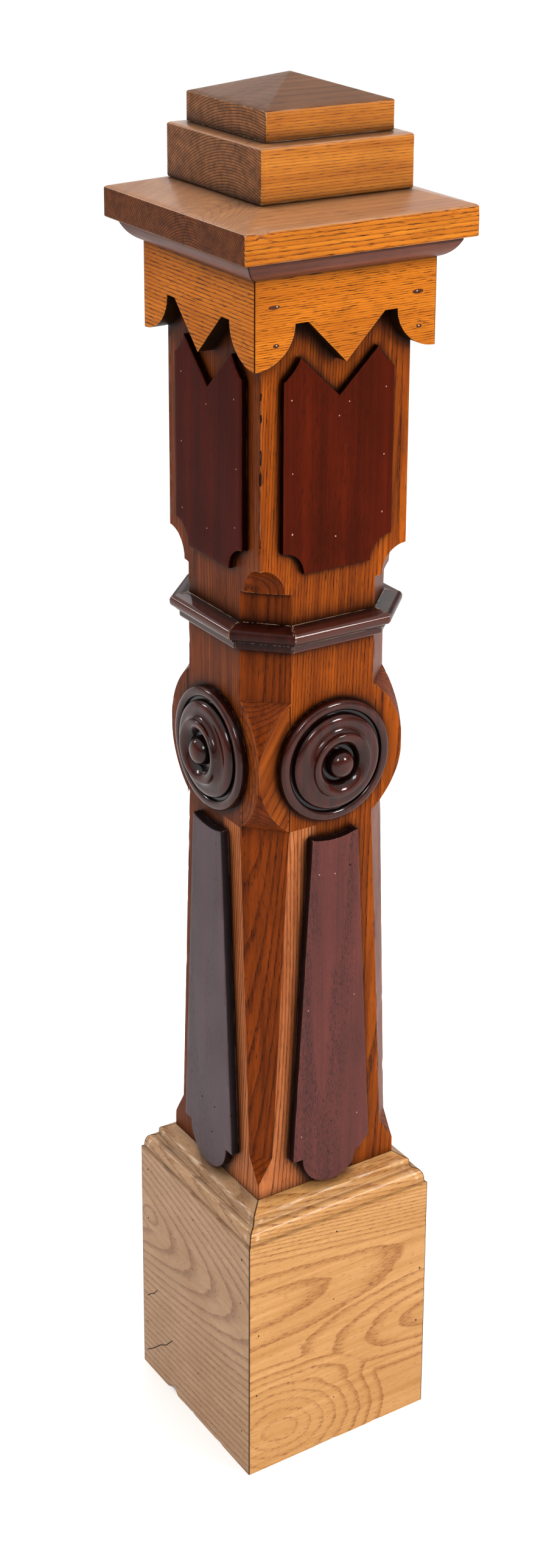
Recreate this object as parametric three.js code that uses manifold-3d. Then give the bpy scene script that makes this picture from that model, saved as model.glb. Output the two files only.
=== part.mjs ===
// Newel post: a built-up oak shaft under a stepped square cap, with dark applied panels,
// turned rosettes, an eight-sided collar round its neck and a boxed plinth.
// Millimetres, +Z up. The origin is the centre of the underside, on the floor, and the
// front face looks toward -Y.
import * as THREE from 'three';
import { mergeVertices } from 'three/addons/utils/BufferGeometryUtils.js';
import Module from 'manifold-3d';

const wasm = await Module();
wasm.setup();

// Fits
const clearance = 0.3;
const mitreClearance = 0.42;
const arris = 0.4;

// Shaft, from the floor up. Its corners are cut away at 45 degrees by varying amounts,
// which leaves each face a tapered strip, a round disc, a narrow neck and a full square.
const shaftWidth = 141;
const plinthHeight = 263;
const squareFootAbovePlinth = 14;
const taperStopHeight = 23;
const taperFootWidth = 112;
const taperHeadWidth = 82;
const taperLength = 306.6;
const neckWidth = 80.4;
const neckBelowCollar = 45.4;
const neckAboveCollar = 25.6;
const neckLedgeRise = 1;
const coveRadius = 23.7;
const squareHeadLength = 256.7;

// Boxed plinth, with a moulded top edge on each board
const plinthThickness = 23.1;
const plinthTopSlopeDrop = 5.8;
const plinthNoseRun = 1.8;
const plinthNoseDrop = 2.6;
const plinthCoveRun = 2.8;
const plinthCoveDrop = 6.4;
const plinthOvoloRun = 7.2;
const plinthOvoloDrop = 12.6;
const plinthQuirk = 1.9;
const plinthQuirkDrop = 0.9;

// Lower panels, with a round tongue between two square ears
const lowerPanelThickness = 7.5;
const lowerPanelHeadWidth = 45;
const lowerPanelFootWidth = 79;
const lowerPanelEarWidth = 10;
const tongueAbovePlinth = 0.8;

// Turned rosettes
const rosetteRadius = 53;
const rosetteRimHeight = 8;
const rosetteRimWidth = 8.7;
const rosetteGrooveWidth = 2.2;
const rosetteGrooveHeight = 4.6;
const rosetteShoulderWidth = 7;
const rosetteShoulderHeight = 11.4;
const rosetteCrestRadius = 25.4;
const rosetteCrestHeight = 18;
const rosetteCrestWidth = 2;
const rosetteCrestEase = 1;
const rosetteWellFlare = 4;
const rosetteWellRadius = 15.4;
const rosetteWellHeight = 9.4;
const rosetteBossRadius = 12.6;
const rosetteBossHeight = 21.6;

// Neck collar, in eight mitred lengths
const collarProjection = 15;
const collarBandProjection = 7.3;
const collarBandHeight = 6.9;
const collarBandRound = 3;
const collarFilletProjection = 9.7;
const collarFilletHeight = 2.8;
const collarFilletEase = 0.6;
const collarNoseHeight = 10.4;
const collarTopRise = 2.2;

// Upper panels, whose heads follow the valance
const upperPanelThickness = 5;
const upperPanelWidth = 104;
const upperPanelPeakSpacing = 72.8;
const upperPanelCornerRadius = 20;
const upperPanelFootBelowCove = 6.8;
const peakBelowNotch = 30.4;
const valleyBelowTooth = 29.2;
const shoulderBelowLobe = 14.4;
const shoulderSag = 2.2;

// Valance boards, scalloped along their lower edges
const valanceThickness = 13.6;
const valanceDepth = 86.6;
const lobeDepth = 34;
const toothDepth = 36.2;
const toothWidth = 71.4;
const notchWidth = 11.7;

// Bed mouldings, under the cap slab
const bedMouldingProjection = 14.2;
const bedMouldingHeight = 17.4;
const bedMouldingQuirk = 2.8;
const bedMouldingBellyInset = 4.8;
const bedMouldingBellyRise = 3;

// Cap, in three tiers with sloping tops
const slabReveal = 8.6;
const slabEdgeHeight = 24.8;
const slabSlopeRise = 10.2;
const middleBlockInset = 37.2;
const middleBlockEdgeHeight = 43.1;
const middleBlockSlopeRise = 1.2;
const finialInset = 11.6;
const finialEdgeHeight = 23.7;
const finialSlopeRise = 18.4;

// Fineness of the curves
const discSteps = 20;
const coveSteps = 7;
const outlineCurveSteps = 8;
const profileCurveSteps = 3;
const rosetteSegments = 28;

// Broken ear of the front lower panel: how far each point of the break lies in from the
// panel's foot corner, and above its foot line
const earBreak = [[0.6, 3], [5.2, -2.4], [14, -9], [16.8, -18]];

// Heights and half widths that follow
const shaftHalf = shaftWidth / 2;
const discRadius = shaftHalf;
const taperStopFoot = plinthHeight + squareFootAbovePlinth;
const taperFoot = taperStopFoot + taperStopHeight;
const taperHead = taperFoot + taperLength;
const discCentre = taperHead + Math.sqrt(discRadius ** 2 - (taperHeadWidth / 2) ** 2);
const neckFoot = discCentre + Math.sqrt(discRadius ** 2 - (neckWidth / 2) ** 2);
const collarFoot = neckFoot + neckBelowCollar;
const collarHeight = collarBandHeight + collarFilletHeight + collarNoseHeight + collarTopRise;
const neckHead = collarFoot + collarHeight + neckAboveCollar;
const coveFoot = neckHead + neckLedgeRise;
const coveHead = coveFoot + coveRadius;
const slabFoot = coveHead + squareHeadLength;
const neckCut = shaftHalf - neckWidth / 2;
const faceOfShaft = shaftHalf + clearance;
const valanceHalf = faceOfShaft + valanceThickness;
const valanceFoot = slabFoot - valanceDepth;
const notchHead = valanceFoot + lobeDepth;
const bedMouldingBack = valanceHalf + clearance;
const slabHalf = bedMouldingBack + bedMouldingProjection + slabReveal;
const middleBlockHalf = slabHalf - middleBlockInset;
const finialHalf = middleBlockHalf - finialInset;

// Finishes
const finishes = {
  oak: { color: 0xa85f22, roughness: 0.45 },
  paleOak: { color: 0xc08a4a, roughness: 0.5 },
  yellowOak: { color: 0xb9792f, roughness: 0.5 },
  mahogany: { color: 0x4a1f16, roughness: 0.25 },
  redMahogany: { color: 0x6a2412, roughness: 0.35 },
};

const post = new THREE.Group();

function place(name, geometry, finish, turn = 0) {
  const material = new THREE.MeshStandardMaterial({ ...finishes[finish], metalness: 0 });
  const mesh = new THREE.Mesh(geometry, material);
  mesh.name = name;
  mesh.rotation.z = turn;
  post.add(mesh);
}

// A body through rings of equally many points, closed by a flat polygon at each end. The
// ends are triangulated in the plane that flat gives for a point.
function closedLoft(givenRings, flat) {
  const given = givenRings[0].map((point) => new THREE.Vector2(...flat(point)));
  const reversed = THREE.ShapeUtils.isClockWise(given);
  const rings = reversed ? givenRings.map((ring) => [...ring].reverse()) : givenRings;
  const outline = reversed ? given.reverse() : given;
  const count = outline.length;
  const last = (rings.length - 1) * count;
  const positions = rings.flat(2);
  const indices = [];
  for (let ring = 0; ring < rings.length - 1; ring += 1) {
    for (let i = 0; i < count; i += 1) {
      const a = ring * count + i;
      const b = ring * count + (i + 1) % count;
      indices.push(a, b, b + count, a, b + count, a + count);
    }
  }
  for (const [a, b, c] of THREE.ShapeUtils.triangulateShape(outline, [])) {
    indices.push(a, c, b);
    indices.push(last + a, last + b, last + c);
  }
  const geometry = new THREE.BufferGeometry();
  geometry.setAttribute('position', new THREE.Float32BufferAttribute(positions, 3));
  geometry.setIndex(indices);
  return facingOut(geometry);
}

function signedVolume(geometry) {
  const points = geometry.attributes.position;
  const index = geometry.index.array;
  const [a, b, c] = [new THREE.Vector3(), new THREE.Vector3(), new THREE.Vector3()];
  let volume = 0;
  for (let i = 0; i < index.length; i += 3) {
    a.fromBufferAttribute(points, index[i]);
    b.fromBufferAttribute(points, index[i + 1]);
    c.fromBufferAttribute(points, index[i + 2]);
    volume += a.dot(b.cross(c)) / 6;
  }
  return volume;
}

function facingOut(geometry) {
  if (signedVolume(geometry) < 0) {
    const index = geometry.index.array;
    for (let i = 0; i < index.length; i += 3) {
      [index[i + 1], index[i + 2]] = [index[i + 2], index[i + 1]];
    }
  }
  return geometry;
}

function merged(geometry) {
  geometry.deleteAttribute('normal');
  geometry.deleteAttribute('uv');
  return mergeVertices(geometry, 1e-4);
}

function toSolid(geometry) {
  return new wasm.Manifold(new wasm.Mesh({
    numProp: 3,
    vertProperties: new Float32Array(geometry.attributes.position.array),
    triVerts: new Uint32Array(geometry.index.array),
  }));
}

function toGeometry(solid) {
  const mesh = solid.getMesh();
  const geometry = new THREE.BufferGeometry();
  geometry.setAttribute('position', new THREE.BufferAttribute(mesh.vertProperties, 3));
  geometry.setIndex(new THREE.BufferAttribute(mesh.triVerts, 1));
  return geometry;
}

// An outline in the plane of the front face (x across, y up), given a thickness and laid
// on the front face with its back at the depth given
function onFrontFace(path, thickness, backDepth) {
  const shape = new THREE.Shape(path.getPoints(outlineCurveSteps));
  const geometry = new THREE.ExtrudeGeometry(shape, { depth: thickness, bevelEnabled: false });
  geometry.rotateX(Math.PI / 2);
  geometry.translate(0, -backDepth, 0);
  return merged(geometry);
}

// A square or eight-sided body, from levels of height, half width and corner cut
function squareLoft(levels) {
  const rings = levels.map(({ z, half, cut }) => {
    const short = half - cut;
    return [
      [half, -short, z], [half, short, z], [short, half, z], [-short, half, z],
      [-half, short, z], [-half, -short, z], [-short, -half, z], [short, -half, z],
    ];
  });
  return closedLoft(rings, ([x, y]) => [x, y]);
}

// A moulding along the front face: each profile point is a distance out from the middle
// of the post and a height, and the ends are mitred so that the lengths meet at corners.
// The run from one mitre to the next is twice startHalf, and it grows with the spread.
function mitredLength(profile, { base, startHalf, spread }) {
  const trim = mitreClearance / 2 / Math.cos(Math.atan(spread));
  const ends = [-1, 1].map((side) => profile.map(({ x: out, y: z }) => {
    const halfRun = startHalf + (out - base) * spread - trim;
    return [side * halfRun, -out, z];
  }));
  return closedLoft(ends, ([, y, z]) => [y, z]);
}

const quarterTurn = Math.PI / 2;
const faces = [
  { face: 'front', turn: 0 },
  { face: 'right', turn: quarterTurn },
  { face: 'back', turn: 2 * quarterTurn },
  { face: 'left', turn: 3 * quarterTurn },
];
const corners = [
  { corner: 'front_right', turn: quarterTurn / 2 },
  { corner: 'back_right', turn: quarterTurn * 1.5 },
  { corner: 'back_left', turn: quarterTurn * 2.5 },
  { corner: 'front_left', turn: quarterTurn * 3.5 },
];
const squareRun = { base: 0, startHalf: 0, spread: 1 };

// Shaft
function discLevels() {
  const low = -Math.acos(taperHeadWidth / 2 / discRadius);
  const high = Math.acos(neckWidth / 2 / discRadius);
  const levels = [];
  for (let step = 0; step <= discSteps; step += 1) {
    const angle = low + (high - low) * step / discSteps;
    const cut = shaftHalf - discRadius * Math.cos(angle);
    levels.push({ z: discCentre + discRadius * Math.sin(angle), cut: Math.max(cut, arris) });
  }
  return levels;
}

function coveLevels() {
  const levels = [];
  for (let step = 0; step <= coveSteps; step += 1) {
    const angle = quarterTurn * step / coveSteps;
    const cut = coveRadius * Math.cos(angle);
    levels.push({ z: coveFoot + coveRadius * Math.sin(angle), cut: Math.max(cut, arris) });
  }
  return levels;
}

function shaft() {
  const levels = [
    { z: 0, cut: arris },
    { z: taperStopFoot, cut: arris },
    { z: taperFoot, cut: shaftHalf - taperFootWidth / 2 },
    ...discLevels(),
    { z: neckHead, cut: neckCut },
    ...coveLevels(),
    { z: slabFoot - clearance, cut: arris },
  ];
  return squareLoft(levels.map((level) => ({ ...level, half: shaftHalf })));
}

// Plinth board: a sloping top, a small rounded nose, a cove, an ovolo and a quirk
function plinthProfile() {
  const face = faceOfShaft + plinthThickness;
  const ovoloOut = face - plinthQuirk;
  const ovoloIn = ovoloOut - plinthOvoloRun;
  const noseOut = ovoloIn - plinthCoveRun;
  const noseIn = noseOut - plinthNoseRun;
  const noseHead = plinthHeight - plinthTopSlopeDrop;
  const coveTop = noseHead - plinthNoseDrop;
  const ovoloHead = coveTop - plinthCoveDrop;
  const ovoloFoot = ovoloHead - plinthOvoloDrop;
  const path = new THREE.Path();
  path.moveTo(faceOfShaft, 0);
  path.lineTo(faceOfShaft, plinthHeight);
  path.lineTo(noseIn, noseHead);
  path.quadraticCurveTo(noseOut, noseHead, noseOut, coveTop);
  path.quadraticCurveTo(noseOut, ovoloHead, ovoloIn, ovoloHead);
  path.quadraticCurveTo(ovoloOut, ovoloHead, ovoloOut, ovoloFoot);
  path.lineTo(face, ovoloFoot - plinthQuirkDrop);
  path.lineTo(face, 0);
  return path.getPoints(profileCurveSteps);
}

// Lower panel: it narrows upward to a hollow head that follows the disc, and its foot is
// a half round tongue between two ears
function lowerPanelPath({ broken }) {
  const headHalf = lowerPanelHeadWidth / 2;
  const footHalf = lowerPanelFootWidth / 2;
  const tongue = footHalf - lowerPanelEarWidth;
  const earFoot = plinthHeight + tongueAbovePlinth + tongue;
  const headAngle = Math.asin(headHalf / discRadius);
  const down = -quarterTurn;
  const path = new THREE.Path();
  path.absarc(0, discCentre, discRadius, down + headAngle, down - headAngle, true);
  path.lineTo(-footHalf, earFoot);
  path.lineTo(-tongue, earFoot);
  if (broken) {
    const points = earBreak.map(([inward, rise]) => [footHalf - inward, earFoot + rise]);
    const [lastX, lastZ] = points.at(-1);
    const breakAngle = Math.atan2(lastZ - earFoot, lastX);
    path.absarc(0, earFoot, tongue, Math.PI, 2 * Math.PI + breakAngle, false);
    points.reverse().slice(1).forEach(([x, z]) => path.lineTo(x, z));
  } else {
    path.absarc(0, earFoot, tongue, Math.PI, 2 * Math.PI, false);
    path.lineTo(footHalf, earFoot);
  }
  return path;
}

function lowerPanel(options) {
  return onFrontFace(lowerPanelPath(options), lowerPanelThickness, faceOfShaft);
}

// Rosette: a rounded rim, a groove, an ogee dish up to a crest, a well and a domed boss
function rosetteProfile() {
  const rimIn = rosetteRadius - rosetteRimWidth;
  const rimMiddle = rosetteRadius - rosetteRimWidth / 2;
  const grooveIn = rimIn - rosetteGrooveWidth;
  const shoulder = grooveIn - rosetteShoulderWidth;
  const crestBack = rosetteCrestRadius + rosetteCrestWidth;
  const wellHead = rosetteWellRadius + rosetteWellFlare;
  const path = new THREE.Path();
  path.moveTo(0, 0);
  path.lineTo(rosetteRadius, 0);
  path.lineTo(rosetteRadius, rosetteRimHeight / 2);
  path.quadraticCurveTo(rosetteRadius, rosetteRimHeight, rimMiddle, rosetteRimHeight);
  path.quadraticCurveTo(rimIn, rosetteRimHeight, rimIn, rosetteGrooveHeight);
  path.lineTo(grooveIn, rosetteGrooveHeight);
  path.quadraticCurveTo(grooveIn, rosetteShoulderHeight, shoulder, rosetteShoulderHeight);
  path.quadraticCurveTo(crestBack, rosetteShoulderHeight, crestBack,
    rosetteCrestHeight - rosetteCrestEase);
  path.lineTo(rosetteCrestRadius, rosetteCrestHeight);
  path.quadraticCurveTo(wellHead, rosetteCrestHeight, rosetteWellRadius, rosetteWellHeight);
  path.lineTo(rosetteBossRadius, rosetteWellHeight);
  path.quadraticCurveTo(rosetteBossRadius, rosetteBossHeight, 0, rosetteBossHeight);
  return path.getPoints(profileCurveSteps);
}

function rosette() {
  const geometry = new THREE.LatheGeometry(rosetteProfile(), rosetteSegments);
  geometry.rotateX(Math.PI);
  geometry.translate(0, -faceOfShaft, discCentre);
  return facingOut(withoutSlivers(merged(geometry)));
}

// A turned shape has a fan of collapsed triangles where its profile meets the axis
function withoutSlivers(geometry) {
  const kept = [];
  const index = geometry.index.array;
  for (let i = 0; i < index.length; i += 3) {
    const [a, b, c] = index.slice(i, i + 3);
    if (a !== b && b !== c && c !== a) kept.push(a, b, c);
  }
  geometry.setIndex(kept);
  return geometry;
}

// Collar: a flat band, a small fillet and a full round nose under a slightly sloping top
function collarProfile(face) {
  const back = face + clearance;
  const band = face + collarBandProjection;
  const fillet = face + collarFilletProjection;
  const nose = face + collarProjection;
  const bandHead = collarFoot + collarBandHeight;
  const noseFoot = bandHead + collarFilletHeight;
  const noseMiddle = noseFoot + collarNoseHeight / 2;
  const noseHead = noseFoot + collarNoseHeight;
  const path = new THREE.Path();
  path.moveTo(back, collarFoot);
  path.lineTo(band - collarBandRound, collarFoot);
  path.quadraticCurveTo(band, collarFoot, band, collarFoot + collarBandRound);
  path.lineTo(band, bandHead);
  path.lineTo(fillet, bandHead + collarFilletEase);
  path.lineTo(fillet, noseFoot);
  path.quadraticCurveTo(nose, noseFoot, nose, noseMiddle);
  path.quadraticCurveTo(nose, noseHead, fillet, noseHead);
  path.lineTo(back, noseHead + collarTopRise);
  return path.getPoints(profileCurveSteps);
}

const octagonSpread = Math.tan(Math.PI / 8);

function faceCollar() {
  const run = { base: shaftHalf, startHalf: neckWidth / 2, spread: octagonSpread };
  return mitredLength(collarProfile(shaftHalf), run);
}

function cornerCollar() {
  const distance = (2 * shaftHalf - neckCut) / Math.SQRT2;
  const run = { base: distance, startHalf: neckCut / Math.SQRT2, spread: octagonSpread };
  return mitredLength(collarProfile(distance), run);
}

// Upper panel: two peaks and a valley at the head, and hollow corners at the foot
function upperPanel() {
  const half = upperPanelWidth / 2;
  const peak = upperPanelPeakSpacing / 2;
  const foot = coveHead - upperPanelFootBelowCove;
  const cornerHead = foot + upperPanelCornerRadius;
  const shoulder = valanceFoot - shoulderBelowLobe;
  const peakHeight = notchHead - peakBelowNotch;
  const valley = notchHead - toothDepth - valleyBelowTooth;
  const sagX = (half + peak) / 2 - shoulderSag;
  const sagZ = (shoulder + peakHeight) / 2 - shoulderSag;
  const path = new THREE.Path();
  path.moveTo(0, valley);
  path.lineTo(-peak, peakHeight);
  path.quadraticCurveTo(-sagX, sagZ, -half, shoulder);
  path.lineTo(-half, cornerHead);
  path.absarc(-half, foot, upperPanelCornerRadius, quarterTurn, 0, true);
  path.absarc(half, foot, upperPanelCornerRadius, Math.PI, quarterTurn, true);
  path.lineTo(half, shoulder);
  path.quadraticCurveTo(sagX, sagZ, peak, peakHeight);
  path.lineTo(0, valley);
  return onFrontFace(path, upperPanelThickness, faceOfShaft);
}

// Valance board: lobes at the corners, a notch each side and a pointed tooth between,
// cut from a wider board by the prism between its two mitres
function valanceBoard() {
  const head = slabFoot - clearance;
  const toothHalf = toothWidth / 2;
  const lobeIn = toothHalf + notchWidth;
  const lobeWidth = valanceHalf - lobeIn;
  const wide = valanceHalf + lobeWidth;
  const path = new THREE.Path();
  path.moveTo(-wide, head);
  path.lineTo(-wide, valanceFoot);
  path.lineTo(-valanceHalf, valanceFoot);
  path.absellipse(-valanceHalf, notchHead, lobeWidth, lobeDepth, -quarterTurn, 0, false);
  path.lineTo(-toothHalf, notchHead);
  path.lineTo(0, notchHead - toothDepth);
  path.lineTo(toothHalf, notchHead);
  path.lineTo(lobeIn, notchHead);
  path.absellipse(valanceHalf, notchHead, lobeWidth, lobeDepth, Math.PI, 1.5 * Math.PI, false);
  path.lineTo(wide, valanceFoot);
  path.lineTo(wide, head);
  const board = toSolid(onFrontFace(path, valanceThickness, faceOfShaft));
  const between = [
    { x: faceOfShaft / 2, y: 0 },
    { x: faceOfShaft / 2, y: slabFoot * 2 },
    { x: valanceHalf * 2, y: slabFoot * 2 },
    { x: valanceHalf * 2, y: 0 },
  ];
  return toGeometry(board.intersect(toSolid(mitredLength(between, squareRun))));
}

// Bed moulding: a shallow ovolo under a narrow quirk, dying on to the valance at its foot
function bedMoulding() {
  const head = slabFoot - clearance;
  const foot = slabFoot - bedMouldingHeight;
  const front = bedMouldingBack + bedMouldingProjection;
  const path = new THREE.Path();
  path.moveTo(bedMouldingBack, head);
  path.lineTo(bedMouldingBack, foot);
  path.quadraticCurveTo(front - bedMouldingBellyInset, foot + bedMouldingBellyRise,
    front, head - bedMouldingQuirk);
  path.lineTo(front, head);
  return mitredLength(path.getPoints(outlineCurveSteps), squareRun);
}

// Cap tiers: upright edges under a slope that ends in a flat seat or in a point
function cap() {
  const slabEdge = slabFoot + slabEdgeHeight;
  const slabHead = slabEdge + slabSlopeRise;
  const middleFoot = slabHead + clearance;
  const middleEdge = middleFoot + middleBlockEdgeHeight;
  const middleHead = middleEdge + middleBlockSlopeRise;
  const finialFoot = middleHead + clearance;
  const finialEdge = finialFoot + finialEdgeHeight;
  const slab = squareLoft([
    { z: slabFoot, half: slabHalf, cut: arris },
    { z: slabEdge, half: slabHalf, cut: arris },
    { z: slabHead, half: middleBlockHalf, cut: arris },
  ]);
  const middle = squareLoft([
    { z: middleFoot, half: middleBlockHalf, cut: arris },
    { z: middleEdge, half: middleBlockHalf, cut: arris },
    { z: middleHead, half: finialHalf, cut: arris },
  ]);
  const finial = squareLoft([
    { z: finialFoot, half: finialHalf, cut: arris },
    { z: finialEdge, half: finialHalf, cut: arris },
    { z: finialEdge + finialSlopeRise, half: 2 * arris, cut: arris },
  ]);
  return { slab, middle, finial };
}

place('shaft', shaft(), 'oak');
const { slab, middle, finial } = cap();
place('cap_slab', slab, 'yellowOak');
place('middle_cap_block', middle, 'oak');
place('finial_block', finial, 'oak');

const plinthBoard = mitredLength(plinthProfile(), squareRun);
const collarFace = faceCollar();
const collarCorner = cornerCollar();
const turnedRosette = rosette();
const panelHead = upperPanel();
const valance = valanceBoard();
const moulding = bedMoulding();
for (const { face, turn } of faces) {
  place(`plinth_board_${face}`, plinthBoard, 'paleOak', turn);
  place(`lower_panel_${face}`, lowerPanel({ broken: face === 'front' }), 'mahogany', turn);
  place(`rosette_${face}`, turnedRosette, 'mahogany', turn);
  place(`collar_${face}`, collarFace, 'mahogany', turn);
  place(`upper_panel_${face}`, panelHead, 'redMahogany', turn);
  place(`valance_${face}`, valance, 'yellowOak', turn);
  place(`bed_moulding_${face}`, moulding, 'mahogany', turn);
}
for (const { corner, turn } of corners) {
  place(`collar_${corner}`, collarCorner, 'mahogany', turn);
}

export default post;
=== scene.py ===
"""Newel post: oak and mahogany, worn and varnished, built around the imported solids.

Sizes are millimetres until a mesh is finished, when it is turned to metres. A piece that
belongs to one face of the post is made on the front face (-Y) and turned about the middle.
"""

import math

import bmesh
import bpy
from mathutils import Matrix, Vector, noise


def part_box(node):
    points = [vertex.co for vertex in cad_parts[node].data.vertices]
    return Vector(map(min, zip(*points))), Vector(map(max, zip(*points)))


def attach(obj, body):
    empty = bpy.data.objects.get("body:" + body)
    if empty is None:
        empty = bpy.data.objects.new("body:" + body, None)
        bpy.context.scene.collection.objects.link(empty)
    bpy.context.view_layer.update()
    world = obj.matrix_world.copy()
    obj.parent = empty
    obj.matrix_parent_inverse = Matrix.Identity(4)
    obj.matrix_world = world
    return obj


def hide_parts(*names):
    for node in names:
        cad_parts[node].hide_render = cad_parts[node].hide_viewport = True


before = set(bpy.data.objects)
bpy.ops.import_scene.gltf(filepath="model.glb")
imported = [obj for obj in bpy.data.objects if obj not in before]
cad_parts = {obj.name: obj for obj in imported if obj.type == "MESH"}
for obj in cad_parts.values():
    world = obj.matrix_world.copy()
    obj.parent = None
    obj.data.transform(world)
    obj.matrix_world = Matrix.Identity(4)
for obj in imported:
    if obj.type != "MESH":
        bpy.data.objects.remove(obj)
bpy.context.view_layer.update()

MM = 0.001
QUARTER = math.pi / 2
FACES = {"front": 0, "right": QUARTER, "back": 2 * QUARTER, "left": 3 * QUARTER}
CORNERS = {
    "front_right": QUARTER / 2,
    "back_right": 1.5 * QUARTER,
    "back_left": 2.5 * QUARTER,
    "front_left": 3.5 * QUARTER,
}


def top(node):
    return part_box(node)[1].z / MM


def foot(node):
    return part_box(node)[0].z / MM


def out(node):
    """How far a node on the front face reaches out from the middle."""
    return -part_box(node)[0].y / MM


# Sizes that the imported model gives
shaft_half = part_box("shaft")[1].x / MM
plinth_head = top("plinth_board_front")
plinth_face = out("plinth_board_front")
lower_foot = foot("lower_panel_back")
lower_face = out("lower_panel_front")
lower_foot_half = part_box("lower_panel_back")[1].x / MM
disc_centre = (top("rosette_front") + foot("rosette_front")) / 2
rosette_radius = (top("rosette_front") - foot("rosette_front")) / 2
collar_foot = foot("collar_front")
collar_head = top("collar_front")
collar_nose = out("collar_front")
upper_foot = foot("upper_panel_front")
upper_face = out("upper_panel_front")
upper_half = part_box("upper_panel_front")[1].x / MM
valance_foot = foot("valance_front")
valance_half = out("valance_front")
moulding_foot = foot("bed_moulding_front")
moulding_out = out("bed_moulding_front")
slab_foot = foot("cap_slab")
slab_head = top("cap_slab")
slab_half = out("cap_slab")
middle_foot = foot("middle_cap_block")
middle_head = top("middle_cap_block")
middle_half = out("middle_cap_block")
finial_foot = foot("finial_block")
finial_head = top("finial_block")
finial_half = out("finial_block")

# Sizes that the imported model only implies
gap = 0.3                   # between pieces that touch
mitre_gap = 0.42            # between boards that meet on the diagonal
face_plane = shaft_half + gap
neck_half = 40.2
taper_head_half = 41
taper_foot_half = 56
taper_stop_foot = 277
taper_foot = 300
neck_head = 815.6
cove_radius = 23.7
lobe_height = 34            # of the valance's corner lobes
tooth_drop = 36.2           # of the valance's middle tooth, below its notches
arris = 0.4
ease = 0.7                  # how far the boards' edges are rounded off
slab_edge_height = 24.8
middle_edge_height = 43.1
finial_edge_height = 23.7
roll_in, roll_out = 78, 81  # where the plinth's moulded rolls begin, out from the middle
roll_foot = plinth_head - 25
grid = 4.5                  # between the slices that give the wear vertices to move
tiny = 1e-4                 # nearer than this, cuts and points are the same

# The shaft's sides are numbered by eighths of a turn from the front. Four parts of it have
# a wood or a dirt of their own, and these are their places in its list of materials
front_side, left_side, near_corner = 0, 6, 7
open_joint, strip_wood, ear_wood = 8, 9, 10
joint_low, joint_high = 858, 1000
strip_head, strip_edge = 606, -15
ear_head, ear_edge = 722, -42


# Shapes


def arc(centre, radius, start, end, steps=24):
    """Points along an arc; a radius of two numbers makes it an ellipse."""
    across, up = radius if isinstance(radius, tuple) else (radius, radius)
    turns = [start + (end - start) * i / steps for i in range(steps + 1)]
    return [(centre[0] + across * math.cos(a), centre[1] + up * math.sin(a)) for a in turns]


def bend(start, pull, end, steps=9):
    """Points along a curve from start to end that leans toward pull."""
    points = []
    for i in range(1, steps + 1):
        t = i / steps
        a, b, c = (1 - t) ** 2, 2 * t * (1 - t), t * t
        points.append(tuple(a * s + b * p + c * e for s, p, e in zip(start, pull, end)))
    return points


def face_of(mesh, corners):
    return mesh.faces.new([mesh.verts.new(corner) for corner in corners])


def drawn_out(mesh, faces, shift, first=False):
    """Extrudes faces by a shift and gives the new end's faces. The first ones stay, as the
    closed end that the body starts from."""
    made = bmesh.ops.extrude_face_region(mesh, geom=faces)["geom"]
    if not first:
        bmesh.ops.delete(mesh, geom=faces, context="FACES_ONLY")
    ends = [g for g in made if isinstance(g, bmesh.types.BMVert)]
    bmesh.ops.translate(mesh, verts=ends, vec=shift)
    return [g for g in made if isinstance(g, bmesh.types.BMFace)]


def eased(mesh, edges, width, segments=3):
    bmesh.ops.bevel(mesh, geom=edges, offset=width, segments=segments, profile=0.5,
                    affect="EDGES", material=-1, clamp_overlap=True)


def sliced(mesh, axis, low, high, pitch=grid):
    """Cuts the mesh into slices along one axis, so that the wear has vertices to move."""
    count = max(1, round((high - low) / pitch))
    for i in range(1, count):
        cut_at(mesh, axis, low + (high - low) * i / count)


def cut_at(mesh, axis, place):
    normal = Vector([float(i == axis) for i in range(3)])
    bmesh.ops.bisect_plane(mesh, geom=mesh.verts[:] + mesh.edges[:] + mesh.faces[:],
                           plane_co=normal * place, plane_no=normal, dist=tiny)


def sharp_edges(mesh, angle=math.radians(25)):
    return [e for e in mesh.edges if len(e.link_faces) == 2 and e.calc_face_angle() > angle]


def gnawed(mesh, depth, size, pick=None, least_bend=0.2):
    """Wears the arrises: vertices on an edge move inward, up to a depth, in patches of a
    size, where the surface bends by at least so much."""
    mesh.normal_update()
    for vert in mesh.verts:
        crest = [e.calc_face_angle(0) for e in vert.link_edges if len(e.link_faces) == 2]
        if not crest or max(crest) < least_bend or (pick and not pick(vert.co)):
            continue
        patch = noise.noise(vert.co / size) + 0.5 * noise.noise(vert.co / (size * 0.3))
        vert.co -= vert.normal * depth * max(0.0, patch) ** 1.5


def knocked(mesh, place, size, shift):
    """Knocks a chip off: vertices near a place move by a shift that fades with distance."""
    for vert in mesh.verts:
        near = 1 - (vert.co - Vector(place)).length / size
        if near > 0:
            vert.co += Vector(shift) * min(1, near * 1.6)
    return mesh


def flat_board(outline, back, front, width=ease):
    """A board laid on the front face: an outline given a thickness, with eased edges."""
    mesh = bmesh.new()
    start = face_of(mesh, [(x, -back, z) for x, z in outline])
    drawn_out(mesh, [start], (0, back - front, 0), first=True)
    bmesh.ops.recalc_face_normals(mesh, faces=mesh.faces)
    rim = [e for e in sharp_edges(mesh) if all(abs(v.co.y + front) < 1e-3 for v in e.verts)]
    eased(mesh, rim, width)
    xs, zs = zip(*outline)
    sliced(mesh, 0, min(xs), max(xs))
    sliced(mesh, 2, min(zs), max(zs))
    return mesh


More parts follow.
